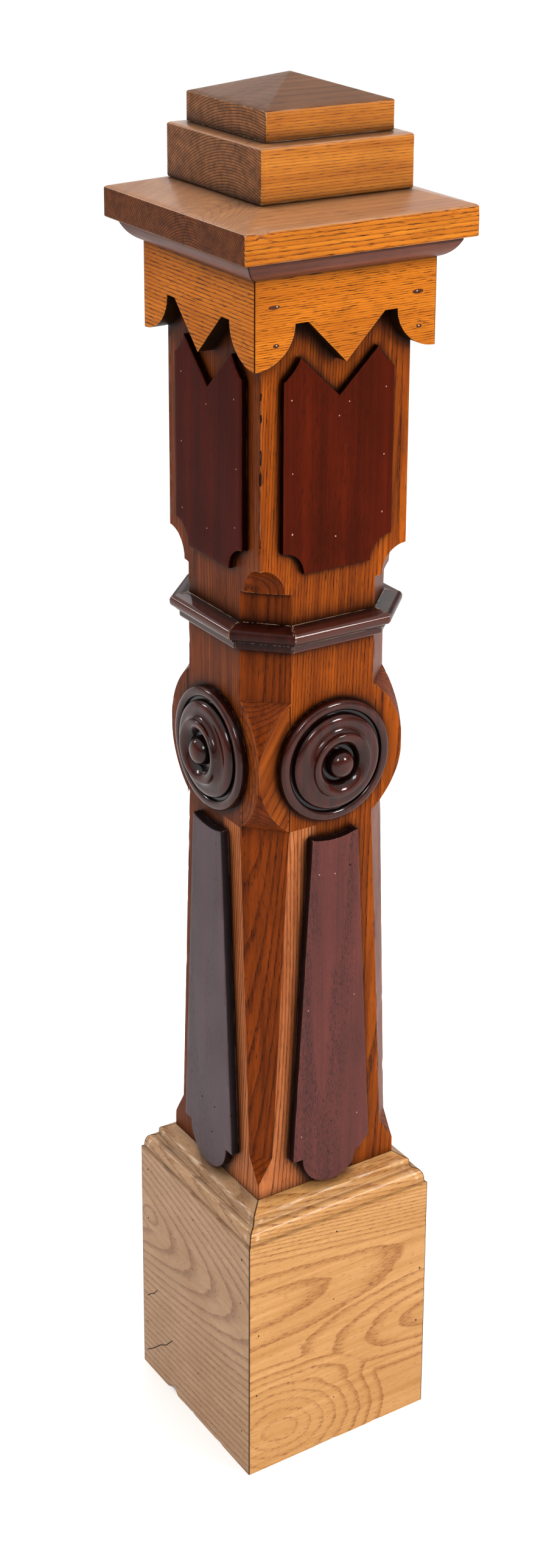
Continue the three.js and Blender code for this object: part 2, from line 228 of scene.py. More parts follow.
def run_of(profile, base, start_half, spread):
    """A length of moulding on the front face, with mitred ends. The profile's points are
    a distance out and a height, and the run grows with the spread beyond the base."""
    reach = start_half + max(far for far, z in profile)
    mesh = bmesh.new()
    start = face_of(mesh, [(-reach, -far, z) for far, z in profile])
    drawn_out(mesh, [start], (2 * reach, 0, 0), first=True)
    for side in (-1, 1):
        normal = Vector((side, spread, 0)).normalized()
        corner = Vector((side * start_half, -base, 0)) - normal * mitre_gap / 2
        everything = mesh.verts[:] + mesh.edges[:] + mesh.faces[:]
        cut = bmesh.ops.bisect_plane(mesh, geom=everything, plane_co=corner, dist=tiny,
                                     plane_no=normal, clear_outer=True)["geom_cut"]
        edges = [g for g in cut if isinstance(g, bmesh.types.BMEdge)]
        bmesh.ops.contextual_create(mesh, geom=edges)
    bmesh.ops.recalc_face_normals(mesh, faces=mesh.faces)
    xs = [v.co.x for v in mesh.verts]
    sliced(mesh, 0, min(xs), max(xs))
    return mesh


def block(half, low, edge, head, head_half, width):
    """A square block whose top slopes in to a flat seat or a point. The top takes the
    second material."""
    mesh = bmesh.new()
    bmesh.ops.create_cube(mesh, size=1)
    bmesh.ops.scale(mesh, verts=mesh.verts, vec=(2 * half, 2 * half, edge - low))
    bmesh.ops.translate(mesh, verts=mesh.verts, vec=(0, 0, (edge + low) / 2))
    lid = [f for f in mesh.faces if f.normal.z > 0.5]
    new_lid = drawn_out(mesh, lid, (0, 0, head - edge))
    bmesh.ops.scale(mesh, verts=new_lid[0].verts, vec=(head_half / half, head_half / half, 1))
    bmesh.ops.recalc_face_normals(mesh, faces=mesh.faces)
    eased(mesh, [e for e in sharp_edges(mesh, 0.1) if min(v.co.z for v in e.verts) < edge + 1],
          width)
    for axis in (0, 1):
        sliced(mesh, axis, -half, half)
    sliced(mesh, 2, low, edge)
    mesh.normal_update()
    for face in mesh.faces:
        face.material_index = int(face.normal.z > 0.5)
    gnawed(mesh, depth=0.7, size=11, pick=lambda co: low + 3 < co.z < edge + 2)
    return mesh


def turned(profile, steps=120):
    """A turning on the front face, spun about the disc's middle."""
    mesh = bmesh.new()
    ring = [mesh.verts.new((0, -face_plane - height, disc_centre + r)) for r, height in profile]
    edges = [mesh.edges.new(pair) for pair in zip(ring, ring[1:])]
    bmesh.ops.spin(mesh, geom=ring + edges, cent=(0, 0, disc_centre), axis=(0, 1, 0),
                   dvec=(0, 0, 0), angle=2 * math.pi, steps=steps, use_merge=True)
    bmesh.ops.remove_doubles(mesh, verts=mesh.verts, dist=1e-3)
    bmesh.ops.recalc_face_normals(mesh, faces=mesh.faces)
    return mesh


# Materials


def colour(code):
    """sRGB hex to the linear colour that the shader takes."""
    parts = [int(code[i:i + 2], 16) / 255 for i in (0, 2, 4)]
    line = [c / 12.92 if c <= 0.04045 else ((c + 0.055) / 1.055) ** 2.4 for c in parts]
    return (*line, 1.0)


def node(tree, kind, inputs=None, **settings):
    """Adds a shader node. Its inputs, by name or by place, are values, the outputs of
    other nodes, or nodes that give their first output."""
    made = tree.nodes.new("ShaderNode" + kind)
    for key, value in settings.items():
        setattr(made, key, value)
    for key, value in (inputs or {}).items():
        if isinstance(value, bpy.types.Node):
            value = value.outputs[0]
        if isinstance(value, bpy.types.NodeSocket):
            tree.links.new(value, made.inputs[key])
        else:
            made.inputs[key].default_value = value
    return made


# The sockets of a Mix node that mixes colours
FACTOR, FIRST, SECOND, MIXED = 0, 6, 7, 2


def wood(name, pale, deep, line, turn=0.0, lie="up", pith=(0, 60, 0), lean=(0, 0),
         spacing=5.0, wave=0.3, sway_size=70, forms=(), figure=0.35, pores=0.5,
         pore_colour="1c0a04", blotch=0.3, end_grain=None, roughness=0.4, gleam=0.1,
         coat=0.0, coat_rough=0.1, relief=0.25, grime_and_shade="140603", grime_and_shade_amount=0.8,
         wear_and_highlight="c89a68", wear_and_highlight_amount=0.35, wear_and_highlight_reach=1.4, split=None, mitre=False,
         ripple=0.03, edge_line=0.45, pore_width=0.9, pore_stretch=0.05, fibre=0.36,
         grime_and_shade_reach=14, rim=0.0, calm=None, rub_and_highlight_above=15):
    """A board of real wood. Growth rings wrap a pith line that lies near the board, so a
    face shows straight grain, arches or end-grain arcs as a sawn board does.

    The tones are the ground's, from pale to deep, and the rings' line. The board lies up
    or across on the face at a turn, and spacing is from ring to ring. Forms are hills added
    to the rings: a shape, its centre, tilt and size, and how many rings it makes. Sizes are
    millimetres, and amounts run from 0 to 1."""
    material = bpy.data.materials.new(name)
    material.use_nodes = True
    tree = material.node_tree
    tree.nodes.clear()
    place = node(tree, "TexCoord")
    local = node(tree, "Mapping", {"Vector": place.outputs["Object"],
                                   "Rotation": (0, 0, -turn)})
    # The grain runs along the pith's own Z
    along = {"up": (*lean, 0), "across": (lean[0], QUARTER + lean[1], 0)}[lie]
    trunk = node(tree, "Mapping", {"Vector": local, "Location": [p * MM for p in pith],
                                   "Rotation": along}, vector_type="TEXTURE")
    drawn = node(tree, "VectorMath", {0: trunk, 1: (1, 1, 0.09)}, operation="MULTIPLY")
    sway = node(tree, "TexNoise", {"Vector": drawn, "Scale": 1 / (sway_size * MM),
                                   "Detail": 3, "Roughness": 0.5})
    round_pith = node(tree, "VectorMath", {0: trunk, 1: (1, 1, 0)}, operation="MULTIPLY")
    reach = node(tree, "VectorMath", {0: round_pith}, operation="LENGTH")
    rings = node(tree, "Math", {0: reach.outputs[1], 1: 1 / (spacing * MM)},
                 operation="MULTIPLY")
    rings = node(tree, "Math", {0: sway, 1: wave * 10, 2: rings}, operation="MULTIPLY_ADD")
    fine = node(tree, "VectorMath", {0: trunk, 1: (1, 1, 0.35)}, operation="MULTIPLY")
    fine = node(tree, "TexNoise", {"Vector": fine, "Scale": 1 / (9 * MM), "Detail": 2})
    rings = node(tree, "Math", {0: fine, 1: ripple * 10, 2: rings}, operation="MULTIPLY_ADD")
    for kind, centre, tilt, size, count in forms:
        shape = node(tree, "Mapping", {"Vector": local, "Location": [c * MM for c in centre],
                                       "Rotation": (0, tilt, 0), "Scale": [s * MM for s in size]},
                     vector_type="TEXTURE")
        form = node(tree, "TexGradient", {"Vector": shape}, gradient_type=kind).outputs[1]
        rings = node(tree, "Math", {0: form, 1: count, 2: rings}, operation="MULTIPLY_ADD")
    # Each ring starts at a sharp porous line and fades outward
    phase = node(tree, "Math", {0: rings}, operation="FRACT")
    porous = node(tree, "MapRange", {0: phase, 1: 0.0, 2: edge_line, 3: 1.0, 4: 0.0},
                  interpolation_type="SMOOTHSTEP")
    onset = node(tree, "MapRange", {0: phase, 1: 0.93, 2: 1.0, 3: 0.0, 4: 1.0},
                 interpolation_type="SMOOTHSTEP")
    band = node(tree, "Math", {0: porous, 1: onset}, operation="MAXIMUM")
    # Real pores are up to 0.3 mm wide and many times as long. These are 0.3 to 0.5 mm
    # wide, coarser than real so that they show
    pore_place = node(tree, "VectorMath", {0: trunk, 1: (1, 1, pore_stretch)},
                      operation="MULTIPLY")
    pore = node(tree, "TexNoise", {"Vector": pore_place,
                                   "Scale": 1 / (pore_width * MM), "Detail": 2,
                                   "Roughness": 0.6})
    density = node(tree, "MapRange", {0: band, 3: 0.6, 4: 0.48})
    pore = node(tree, "Math", {0: pore, 1: density}, operation="SUBTRACT")
    pore = node(tree, "MapRange", {0: pore, 1: 0.0, 2: 0.1, 3: 0.0, 4: pores})
    # Fibre streaks from 7 mm wide down to 0.2 mm, and an uneven stain in 80 mm patches
    streak_place = node(tree, "VectorMath", {0: trunk, 1: (1, 1, 0.025)}, operation="MULTIPLY")
    streak = node(tree, "TexNoise", {"Vector": streak_place, "Detail": 5,
                                     "Scale": 1 / (7 * MM), "Roughness": 0.68})
    patch = node(tree, "TexNoise", {"Vector": local, "Scale": 1 / (80 * MM), "Detail": 3})
    ground = node(tree, "MapRange", {0: streak, 1: fibre, 2: 1 - fibre})
    tone = node(tree, "Mix", {FACTOR: ground, FIRST: colour(pale), SECOND: colour(deep)},
                data_type="RGBA").outputs[MIXED]
    ringed = node(tree, "Math", {0: band, 1: figure}, operation="MULTIPLY")
    if calm:
        # A spot where the figure is faint: its centre and size
        shape = node(tree, "Mapping", {"Vector": local, "Location": [c * MM for c in calm[0]],
                                       "Scale": [s * MM for s in calm[1]]},
                     vector_type="TEXTURE")
        faint = node(tree, "TexGradient", {"Vector": shape}, gradient_type="SPHERICAL")
        faint = node(tree, "MapRange", {0: faint.outputs[1], 1: 0.0, 2: 0.6, 3: 1.0, 4: 0.14})
        ringed = node(tree, "Math", {0: ringed, 1: faint}, operation="MULTIPLY")
    uneven = node(tree, "MapRange", {0: patch, 1: 0.4, 2: 0.7, 3: 0.0, 4: blotch})
    # What lies over the ground, each with where it shows and its colour
    layers = [(ringed, colour(line)), (pore, colour(pore_colour)), (uneven, colour(line))]
    if end_grain:
        # End grain drinks the stain and goes dark
        facing = node(tree, "Mapping", {"Vector": place.outputs["Normal"],
                                        "Rotation": (0, 0, -turn)}, vector_type="NORMAL")
        grain = {"up": (0, 0, 1), "across": (1, 0, 0)}[lie]
        cut = node(tree, "VectorMath", {0: facing, 1: grain}, operation="DOT_PRODUCT")
        cut = node(tree, "Math", {0: cut.outputs[1]}, operation="ABSOLUTE")
        cut = node(tree, "MapRange", {0: cut, 1: 0.6, 2: 0.8})
        ends = node(tree, "Mix", {FACTOR: ground, FIRST: colour(end_grain[0]),
                                  SECOND: colour(end_grain[1])}, data_type="RGBA").outputs[MIXED]
        ends = node(tree, "Mix", {FACTOR: band, FIRST: ends, SECOND: colour(end_grain[2])},
                    data_type="RGBA").outputs[MIXED]
        layers.append((cut, ends))
    if split:
        # A joint line in a glued-up blank: its place across, its lean and its width
        split_place = node(tree, "Mapping", {"Vector": local, "Location": (split[0] * MM, 0, 0),
                                             "Rotation": (0, split[1], 0)},
                           vector_type="TEXTURE")
        across_split = node(tree, "SeparateXYZ", {0: split_place})
        across_split = node(tree, "Math", {0: across_split}, operation="ABSOLUTE")
        joint = node(tree, "MapRange", {0: across_split, 1: split[2] * MM, 2: 2 * split[2] * MM,
                                        3: 0.9, 4: 0.0})
        layers.append((joint, colour(grime_and_shade)))
    # Dark wax and dirt, with painted shade, where a surface is closed in, but not down at the
    # swept floor
    raised = node(tree, "SeparateXYZ", {0: local}).outputs[2]
    raised = node(tree, "MapRange", {0: raised, 1: 8 * MM, 2: 30 * MM})
    closed = node(tree, "AmbientOcclusion", {"Distance": grime_and_shade_reach * MM}, samples=12)
    closed = closed.outputs[1]
    uneven_dirt_and_shade = node(tree, "Math", {0: patch, 1: 0.3, 2: -0.15}, operation="MULTIPLY_ADD")
    closed = node(tree, "Math", {0: closed, 1: uneven_dirt_and_shade}, operation="ADD")
    dirt_and_shade = node(tree, "MapRange", {0: closed, 1: 0.97, 2: 0.62, 3: 0.0, 4: grime_and_shade_amount})
    if rim:
        # A board's own edges, which don't face out, are painted nearly black as shade
        facing = node(tree, "NewGeometry").outputs["True Normal"]
        facing = node(tree, "Mapping", {"Vector": facing, "Rotation": (0, 0, -turn)},
                      vector_type="NORMAL")
        facing = node(tree, "SeparateXYZ", {0: facing}).outputs[1]
        facing = node(tree, "MapRange", {0: facing, 1: -0.75, 2: -0.3, 3: 0.0, 4: rim})
        dirt_and_shade = node(tree, "Math", {0: dirt_and_shade, 1: facing}, operation="MAXIMUM")
    dirt_and_shade = node(tree, "Math", {0: dirt_and_shade, 1: raised}, operation="MULTIPLY")
    layers.append((dirt_and_shade, colour(grime_and_shade)))
    # Pale rubbed arrises in broken patches, as far as the wear reaches from an edge. On the
    # plinth's rolls they are partly painted highlight
    crest = node(tree, "AmbientOcclusion", {"Distance": wear_and_highlight_reach * MM}, samples=8, inside=True,
                 only_local=True).outputs[1]
    crest = node(tree, "MapRange", {0: crest, 1: 0.9, 2: 0.6})
    scuff_place = node(tree, "VectorMath", {0: trunk, 1: (1, 1, 0.12)}, operation="MULTIPLY")
    scuff = node(tree, "TexNoise", {"Vector": scuff_place, "Scale": 1 / (2.6 * MM), "Detail": 4})
    scuff = node(tree, "MapRange", {0: scuff, 1: 0.46, 2: 0.62, 3: 0.0, 4: wear_and_highlight_amount})
    rub_and_highlight = node(tree, "Math", {0: crest, 1: scuff}, operation="MULTIPLY")
    if mitre:
        # A board that meets its neighbour on the diagonal: dirt in the joint, and the rub, partly
        # painted highlight, only away from it, on what stands proud
        sides = node(tree, "VectorMath", {0: local}, operation="ABSOLUTE")
        sides = node(tree, "SeparateXYZ", {0: sides}).outputs
        apart = node(tree, "Math", {0: sides[1], 1: sides[0]}, operation="SUBTRACT")
        away = node(tree, "MapRange", {0: apart, 1: 5 * MM, 2: 12 * MM})
        rub_and_highlight = node(tree, "Math", {0: rub_and_highlight, 1: away}, operation="MULTIPLY")
        high = node(tree, "SeparateXYZ", {0: local}).outputs[2]
        high = node(tree, "MapRange", {0: high, 1: (rub_and_highlight_above - 1) * MM,
                                       2: (rub_and_highlight_above + 1) * MM})
        rub_and_highlight = node(tree, "Math", {0: rub_and_highlight, 1: high}, operation="MULTIPLY")
        proud = node(tree, "MapRange", {0: sides[1], 1: roll_in * MM, 2: roll_out * MM})
        rub_and_highlight = node(tree, "Math", {0: rub_and_highlight, 1: proud}, operation="MULTIPLY")
        joint = node(tree, "MapRange", {0: apart, 1: 0.5 * MM, 2: 1.3 * MM, 3: 0.85, 4: 0.0})
        layers.append((joint, colour(grime_and_shade)))
    layers.append((rub_and_highlight, colour(wear_and_highlight)))
    for where, over in layers:
        tone = node(tree, "Mix", {FACTOR: where, FIRST: tone, SECOND: over},
                    data_type="RGBA").outputs[MIXED]
    rough = node(tree, "MapRange", {0: patch, 1: 0.3, 2: 0.7, 3: roughness - 0.06,
                                    4: roughness + 0.08})
    height = node(tree, "Math", {0: pore, 1: ringed}, operation="ADD")
    bump = node(tree, "Bump", {"Height": height, "Strength": relief, "Distance": 0.3 * MM},
                invert=True)
    shader = node(tree, "BsdfPrincipled", {"Base Color": tone, "Roughness": rough,
                                           "Specular IOR Level": gleam, "Normal": bump,
                                           "Coat Weight": coat, "Coat Roughness": coat_rough})
    node(tree, "OutputMaterial", {"Surface": shader})
    return material


def speck(name, tint, roughness, metallic=0.0):
    """Small things let into the wood: nails, filler and the dirt in a hole."""
    material = bpy.data.materials.new(name)
    material.use_nodes = True
    tree = material.node_tree
    tree.nodes.clear()
    place = node(tree, "TexCoord").outputs["Object"]
    mottle = node(tree, "TexNoise", {"Vector": place, "Scale": 1 / (2 * MM), "Detail": 2})
    mottle = node(tree, "MapRange", {0: mottle, 1: 0.3, 2: 0.7})
    darker = tuple(c * 0.45 for c in colour(tint)[:3]) + (1.0,)
    tone = node(tree, "Mix", {FACTOR: mottle, FIRST: colour(tint), SECOND: darker},
                data_type="RGBA").outputs[MIXED]
    shader = node(tree, "BsdfPrincipled", {"Base Color": tone, "Roughness": roughness,
                                           "Specular IOR Level": 0.1, "Metallic": metallic})
    node(tree, "OutputMaterial", {"Surface": shader})
    return material


# Pieces


def placed(name, data):
    made = bpy.data.objects.new(name, data)
    bpy.context.scene.collection.objects.link(made)
    return made


def piece(name, mesh, materials, stands_for=(), turn=0.0, smooth=40):
    """Turns a finished mesh to metres, in its place on the post."""
    bmesh.ops.dissolve_degenerate(mesh, dist=tiny, edges=mesh.edges)
    bmesh.ops.rotate(mesh, verts=mesh.verts, cent=(0, 0, 0), matrix=Matrix.Rotation(turn, 3, "Z"))
    bmesh.ops.scale(mesh, verts=mesh.verts, vec=(MM, MM, MM))
    data = bpy.data.meshes.new(name)
    mesh.to_mesh(data)
    mesh.free()
    for material in materials:
        data.materials.append(material)
    data.shade_smooth()
    data.set_sharp_from_angle(angle=math.radians(smooth))
    made = placed(name, data)
    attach(made, "root")
    if stands_for:
        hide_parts(*stands_for)


def closely(levels, pitch=5):
    """Puts more levels in between, so that the wear has vertices to move."""
    spread = [levels[0]]
    for (z0, cut0), (z1, cut1) in zip(levels, levels[1:]):
        steps = max(1, math.ceil((z1 - z0) / pitch))
        for i in range(1, steps + 1):
            share = i / steps
            spread.append((z0 + (z1 - z0) * share, cut0 + (cut1 - cut0) * share))
    return spread


def shaft_ring(cut, flats=28, bevels=6):
    """The shaft's outline at a level: four flats and four cut corners."""
    short = shaft_half - cut
    side = [(short * (2 * i / flats - 1), -shaft_half) for i in range(flats)]
    side += [(short + cut * i / bevels, -shaft_half + cut * i / bevels) for i in range(bevels)]
    points = []
    for turn in range(4):
        points += [(x, y) for x, y in side]
        side = [(-y, x) for x, y in side]
    return points


def shaft():
    """The glued-up shaft, lofted level by level from a square with its corners cut."""
    low = -math.acos(taper_head_half / shaft_half)
    high = math.acos(neck_half / shaft_half)
    disc_steps, cove_steps = 72, 16
    levels = [(0, arris), (taper_stop_foot, arris), (taper_foot, shaft_half - taper_foot_half)]
    for i in range(disc_steps + 1):
        a = low + (high - low) * i / disc_steps
        cut = max(arris, shaft_half - shaft_half * math.cos(a))
        levels.append((disc_centre + shaft_half * math.sin(a), cut))
    levels.append((neck_head, shaft_half - neck_half))
    for i in range(cove_steps + 1):
        a = QUARTER * i / cove_steps
        cut = max(arris, cove_radius * math.cos(a))
        levels.append((neck_head + 1 + cove_radius * math.sin(a), cut))
    levels.append((slab_foot - gap, arris))
    levels = closely(levels)
    mesh = bmesh.new()
    ring = shaft_ring(levels[0][1])
    lid = face_of(mesh, [(x, y, levels[0][0]) for x, y in ring])
    for z, cut in levels[1:]:
        lid = drawn_out(mesh, [lid], (0, 0, 1), first=z == levels[1][0])[0]
        first, second = [min(range(len(ring)), key=lambda i: (Vector(ring[i]) - v.co.xy).length)
                         for v in lid.verts[:2]]
        step = 1 if (second - first) % len(ring) == 1 else -1
        ring = shaft_ring(cut)
        for i, vert in enumerate(lid.verts):
            vert.co = (*ring[(first + step * i) % len(ring)], z)
    bmesh.ops.recalc_face_normals(mesh, faces=mesh.faces)
    for face in mesh.faces:
        middle = face.calc_center_median()
        flat = max(abs(middle.x), abs(middle.y)) > shaft_half - 0.01
        turn = math.atan2(middle.x, -middle.y) % (2 * math.pi)
        eighth = round(turn / QUARTER) * 2 if flat else 2 * math.floor(turn / QUARTER) + 1
        side = eighth % 8
        face.material_index = side
        if side == near_corner and joint_low < middle.z < joint_high:
            face.material_index = open_joint
        across = middle.x if side == front_side else middle.y
        on_strip = middle.z < strip_head
        if (side in (front_side, left_side) and middle.z < ear_head
                and across < (strip_edge if on_strip else ear_edge)):
            face.material_index = strip_wood if on_strip else ear_wood
    gnawed(mesh, depth=0.8, size=14)
    gnawed(mesh, depth=3.0, size=8,
           pick=lambda co: co.x < 0 and co.y < 0 and joint_low < co.z < joint_high)
    return mesh


def sweep_profile_collar():
    band, fillet = 7.3, 9.7
    nose = collar_nose - shaft_half
    band_head = collar_foot + 6.9
    nose_foot = band_head + 2.8
    nose_head = nose_foot + 10.4
    middle = (nose_foot + nose_head) / 2
    points = [(gap, collar_foot), (band - 3, collar_foot)]
    points += bend(points[-1], (band, collar_foot), (band, collar_foot + 3))
    points += [(band, band_head), (fillet, band_head + 0.6), (fillet, nose_foot)]
    points += bend(points[-1], (nose, nose_foot), (nose, middle))
    points += bend(points[-1], (nose, nose_head), (fillet, nose_head))
    return points + [(gap, collar_head)]


def plinth_profile():
    ovolo_out = plinth_face - 1.9
    ovolo_in = ovolo_out - 7.2
    nose = ovolo_in - 2.8
    nose_head = plinth_head - 5.8
    cove_top = nose_head - 2.6
    ovolo_head = cove_top - 6.4
    ovolo_foot = ovolo_head - 12.6
    points = [(face_plane, 0.0), (face_plane, plinth_head), (nose - 1.8, nose_head)]
    points += bend(points[-1], (nose, nose_head), (nose, cove_top), 5)
    points += bend(points[-1], (nose, ovolo_head), (ovolo_in, ovolo_head), 7)
    points += bend(points[-1], (ovolo_out, ovolo_head), (ovolo_out, ovolo_foot))
    quirk = ovolo_foot - 0.9
    points.append((plinth_face, quirk))
    steps = round(quirk / grid)
    points += [(plinth_face, quirk * (1 - i / steps)) for i in range(1, steps + 1)]
    return points


def moulding_profile():
    back = valance_half + gap
    head = slab_foot - gap
    lip = 2.8
    pull = (moulding_out - 4.8, moulding_foot + 3)
    points = [(back, head), (back, moulding_foot)]
    points += bend(points[-1], pull, (moulding_out, head - lip), 12)
    return points + [(moulding_out, head)]


def rosette_profile():
    rim_in, rim_middle, rim = rosette_radius - 8.7, rosette_radius - 4.35, 8
    groove_in = rim_in - 2.2
    shoulder, shoulder_height = groove_in - 7, 11.4
    crest, crest_height = 25.4, 18
    boss, boss_height = 12.6, 21.6
    well, well_height = 15.4, 9.4
    groove = 4.6
    points = [(0, 0), (rosette_radius, 0), (rosette_radius, rim / 2)]
    points += bend(points[-1], (rosette_radius, rim), (rim_middle, rim), 8)
    points += bend(points[-1], (rim_in, rim), (rim_in, groove), 8)
    points.append((groove_in, groove))
    points += bend(points[-1], (groove_in, shoulder_height), (shoulder, shoulder_height), 10)
    points += bend(points[-1], (crest + 2, shoulder_height), (crest + 2, crest_height - 1), 12)
    points += bend(points[-1], (crest + 2, crest_height), (crest, crest_height), 4)
    points += bend(points[-1], (well + 4, crest_height), (well, well_height), 9)
    points.append((boss, well_height))
    points += bend(points[-1], (boss, boss_height), (0, boss_height), 14)
    return points


def upper_outline():
    half, peak = upper_half, 36.4
    notch_head = valance_foot + lobe_height
    shoulder, peak_height = valance_foot - 14.4, notch_head - 30.4
    valley = notch_head - tooth_drop - 29.2
    sag, scoop = 2.2, 20
    pull = ((half + peak) / 2 - sag, (shoulder + peak_height) / 2 - sag)
    points = [(0, valley), (-peak, peak_height)]
    points += bend(points[-1], (-pull[0], pull[1]), (-half, shoulder))
    points += arc((-half, upper_foot), scoop, QUARTER, 0, 12)
    points += arc((half, upper_foot), scoop, math.pi, QUARTER, 12)
    points.append((half, shoulder))
    return points + bend((half, shoulder), pull, (peak, peak_height))


def lower_outline(broken):
    head_half, ear_width = 22.5, 10
    tongue = lower_foot_half - ear_width
    ear = lower_foot + tongue
    lean = math.asin(head_half / shaft_half)
    points = arc((0, disc_centre), shaft_half, -QUARTER + lean, -QUARTER - lean, 16)
    points += [(-lower_foot_half, ear)]
    if not broken:
        return points + arc((0, ear), tongue, math.pi, 2 * math.pi, 32) + [(lower_foot_half, ear)]
    break_edge = [(16.8, -18), (15.2, -13), (14, -9), (9.4, -6.2), (5.2, -2.4), (2.4, 0.8),
                  (0.6, 3)]
    broke = [(lower_foot_half - inward, ear + rise) for inward, rise in break_edge]
    last = math.atan2(broke[0][1] - ear, broke[0][0])
    return points + arc((0, ear), tongue, math.pi, 2 * math.pi + last, 28) + broke


def valance_outline():
    head = slab_foot - gap
    tooth_half, notch = 35.7, 11.7
    lobe_in = tooth_half + notch
    notch_head = valance_foot + lobe_height
    edge = valance_half - mitre_gap / 2
    lobe = (valance_half - lobe_in, lobe_height)
    short = 0.02        # how far the arcs stop before a quarter turn, for blunt tips
    points = [(-edge, head), (-edge, valance_foot)]
    points += arc((-valance_half, notch_head), lobe, -QUARTER + short, 0, 20)
    points += [(-tooth_half, notch_head), (0, notch_head - tooth_drop), (tooth_half, notch_head)]
    points += arc((valance_half, notch_head), lobe, math.pi, 1.5 * math.pi - short, 20)
    return points + [(edge, valance_foot), (edge, head)]


def mitred(mesh):
    """Cuts a board's ends on the diagonals, so that four meet round the post."""
    for side in (-1, 1):
        normal = Vector((side, 1, 0)).normalized()
        cut = bmesh.ops.bisect_plane(mesh, geom=mesh.verts[:] + mesh.edges[:] + mesh.faces[:],
                                     plane_co=-normal * mitre_gap / 2, plane_no=normal,
                                     dist=tiny, clear_outer=True)["geom_cut"]
        edges = [g for g in cut if isinstance(g, bmesh.types.BMEdge)]
        bmesh.ops.holes_fill(mesh, edges=edges)
    bmesh.ops.recalc_face_normals(mesh, faces=mesh.faces)
    return mesh


dark_wax_and_shade = {"grime_and_shade": "0a0301", "grime_and_shade_amount": 0.97}
polished = {"spacing": 6, "pores": 0.3, "roughness": 0.28, "coat_rough": 0.06,
            "relief": 0.15, "grime_and_shade": "060202", "grime_and_shade_amount": 0.95, "wear_and_highlight": "c09a80",
            "wear_and_highlight_amount": 0.4}

# Oak, planed, stained golden brown and varnished. The eye gets fine dark pores along
# straight grain, an uneven stain, and black wax with painted shade in the inner corners. Corners
# are darker
oak_tones = [("9c4a0a", "6a2b04"), ("7a3409", "4e1e04")] * 3
# The first pair here is the left side's: a darker copy of the same oak, painted shade
oak_tones += [("763607", "4e1c04"), ("7a3409", "4e1e04")]
oak_faces = []
for i, (pale, deep) in enumerate(oak_tones):
    oak_faces.append(wood(
        f"stained_oak_{i}", pale, deep, "341002", turn=i * QUARTER / 2,
        pith=(25 - 7 * i, -30, 0), lean=(0.01, (0.05, 0.01, -0.02, 0.015)[i % 4]),
        spacing=2.6, wave=0.12, figure=0.46, pore_width=0.65, pores=0.8, blotch=0.5,
        roughness=0.36, gleam=0.04, grime_and_shade_reach=24, fibre=0.34, **dark_wax_and_shade))
# Dirt packed in a glue joint that has opened: dull and nearly black
oak_faces.append(speck("open_joint_grime", "120602", 0.7))
# Oak strips glued to the taper's edges, flat-sawn: redder, paler, with a bold figure
oak_faces.append(wood("stained_oak_strip", "ae683c", "8a4a24", "4c1e0c",
                      pith=(-62, -shaft_half + 9, 330), lean=(0.07, 0.02), spacing=3.2,
                      wave=0.2, figure=0.7, pores=0.5, ripple=0.04, gleam=0.05, **dark_wax_and_shade))
# Oak ears that fill the discs out to the corner: the grain runs aslant in wide arches
oak_faces.append(wood("stained_oak_ear", "8a4210", "602806", "341103", lean=(0.02, 0.55),
                      pith=(-62, -shaft_half + 30, 664), spacing=4.5, wave=0.08, figure=0.5,
                      pores=0.5, gleam=0.04, grime_and_shade_reach=20, **dark_wax_and_shade))
piece("oak_shaft", shaft(), oak_faces, ["shaft"])

octagon = math.tan(math.pi / 8)
corner_cut = shaft_half - neck_half
corner_out = (2 * shaft_half - corner_cut) / math.sqrt(2)
even = 1e6      # a ring spacing so wide that the forms alone draw the figure
deep_in = 1000  # a form this deep is the same all through the board
plinth_figure = {
    "front": {"spacing": even, "wave": 0.13, "sway_size": 34, "forms": (
        ("EASING", (28, 0, 190), -(QUARTER - 0.15), (72, deep_in, 1000), -14),
        ("SPHERICAL", (-115, 0, 166), 0, (200, deep_in, 39), 2.6),
        ("SPHERICAL", (110, 0, 98), 0, (165, deep_in, 50), 4.7),
        ("SPHERICAL", (-62, 0, 36), 0.2, (118, deep_in, 72), 9)),
        "calm": ((-56, 0, 34), (92, deep_in, 62))},
    "left": {"pith": (0, -plinth_face + 60, 160), "lean": (-0.17, 0.03), "spacing": 6,
             "wave": 0.03, "forms": (("SPHERICAL", (-83, 0, 168), 0, (26, deep_in, 15), 2.2),)},
    "right": {"pith": (0, -plinth_face + 45, 60), "lean": (0.12, -0.05), "spacing": 8},
    "back": {"pith": (0, -plinth_face + 80, 210), "lean": (0.05, 0.08), "spacing": 9},
}
